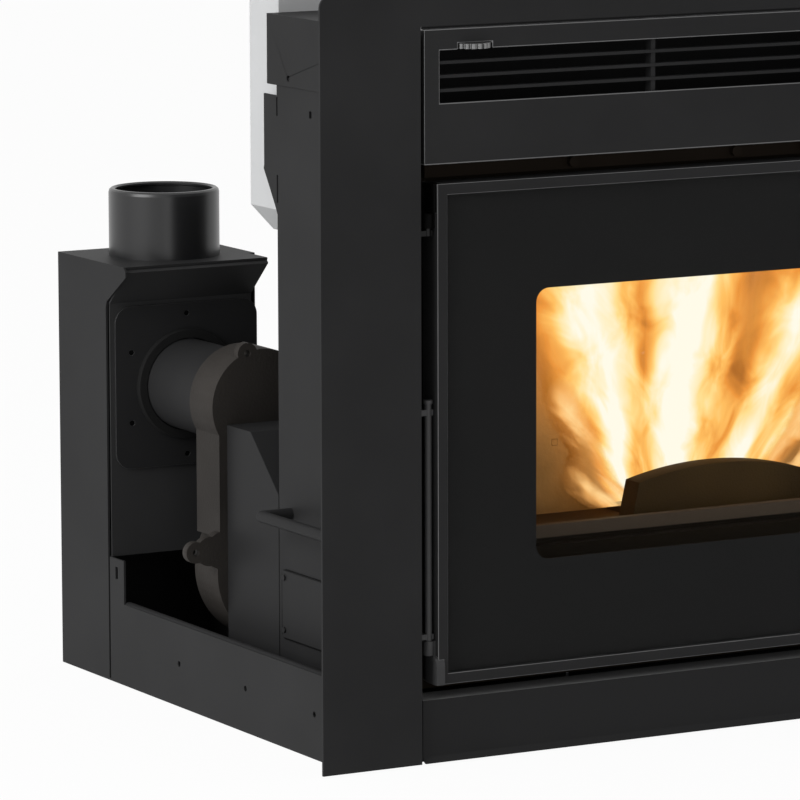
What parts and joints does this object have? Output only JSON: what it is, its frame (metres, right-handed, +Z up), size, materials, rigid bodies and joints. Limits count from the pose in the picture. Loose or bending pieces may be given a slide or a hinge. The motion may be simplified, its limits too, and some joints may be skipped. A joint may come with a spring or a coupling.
{
  "type": "pellet fireplace insert",
  "caption": "Pellet-burning fireplace insert: a glazed stove in a black surround that slides out of a floor tray with a flue column, hopper, auger and exhaust fan.",
  "frame": {"origin": "middle of the underside of the bounding box, on the hearth floor", "axes": "+X to the viewer's right, +Y to the rear, +Z up along the flue collar"},
  "size_m": [0.9, 0.566, 0.652],
  "materials": {
    "black_paint": "matt black powder coat",
    "cast": "dark brown-grey casting",
    "grey_sheet": "pale grey sheet",
    "fire_board": "ochre fire board",
    "steel": "bright steel",
    "motor": "motor housing",
    "glass": "clear ceramic glass",
    "black_print": "black print behind the glass",
    "gasket": "woven rope",
    "black_plastic": "moulded inlet"
  },
  "bodies": {
    "base": {"base_tray": "black_paint", "flue_column": "black_paint", "column_front": "black_paint", "flue_collar": "black_paint", "flange_plate": "black_paint", "pipe_seal": "gasket", "slide_rail_left": "steel", "slide_rail_right": "steel"},
    "stove": {"runner_left": "steel", "runner_right": "steel", "casing_floor": "black_paint", "casing_back": "black_paint", "casing_side_left": "black_paint", "casing_side_right": "black_paint", "top_cover": "black_paint", "surround": "black_paint", "carrier_plate": "black_paint", "top_panel": "black_paint", "grille_blades": "black_paint", "bottom_panel": "black_paint", "header_strip": "black_paint", "firebox": "black_paint", "fire_board_back": "fire_board", "fire_board_left": "fire_board", "fire_board_right": "fire_board", "baffle_plate": "fire_board", "burner_deck": "cast", "fire_sill": "cast", "burner_shield": "cast", "smoke_duct": "steel", "fan_box": "black_paint", "exhaust_casting": "cast", "exhaust_pipe": "black_paint", "exhaust_motor": "motor", "hopper": "grey_sheet", "feed_trough": "grey_sheet", "auger_motor": "motor", "drop_chute": "grey_sheet", "blower_housing": "motor", "blower_motor": "motor", "hinge_post": "steel", "side_handle_left": "black_paint", "side_handle_right": "black_paint", "access_plate_left": "black_paint", "access_plate_right": "black_paint", "control_box": "black_paint", "power_inlet": "black_plastic"},
    "door": {"door_pan": "black_paint", "door_glass": "glass", "glass_mask": "black_print", "door_gasket": "gasket", "hinge_lug_low": "black_paint", "hinge_lug_top": "black_paint", "door_pull": "black_paint"},
    "lid": {"hopper_lid": "grey_sheet"},
    "auger": {"auger": "steel"},
    "impeller": {"exhaust_impeller": "steel"},
    "blower": {"blower_wheel": "steel"},
    "pot": {"burn_pot": "cast"},
    "wheel": {"thumbwheel": "steel"}
  },
  "joints": [
    {"name": "stove_slide", "type": "slide", "parent": "base", "child": "stove", "axis": [0, -1, 0], "range_m": [0, 0.3]},
    {"name": "door_hinge", "type": "hinge", "parent": "stove", "child": "door", "pos_m": [-0.3452, -0.265, 0.28], "axis": [0, 0, -1], "range_deg": [0, 90]},
    {"name": "lid_hinge", "type": "hinge", "parent": "stove", "child": "lid", "pos_m": [0, 0.0136, 0.642], "axis": [-1, 0, 0], "range_deg": [0, 95]},
    {"name": "auger_spin", "type": "hinge", "parent": "stove", "child": "auger", "pos_m": [0.1, -0.019, 0.378], "axis": [1, 0, 0], "continuous": true},
    {"name": "impeller_spin", "type": "hinge", "parent": "stove", "child": "impeller", "pos_m": [-0.322, 0.055, 0.118], "axis": [0, 1, 0], "continuous": true},
    {"name": "blower_spin", "type": "hinge", "parent": "stove", "child": "blower", "pos_m": [0, -0.155, 0.066], "axis": [1, 0, 0], "continuous": true},
    {"name": "pot_lift", "type": "slide", "parent": "stove", "child": "pot", "axis": [0, 0, 1], "range_m": [0, 0.08]},
    {"name": "wheel_turn", "type": "hinge", "parent": "stove", "child": "wheel", "pos_m": [-0.304, -0.267, 0.6038], "axis": [0, 0, 1], "range_deg": [-120, 120]}
  ]
}
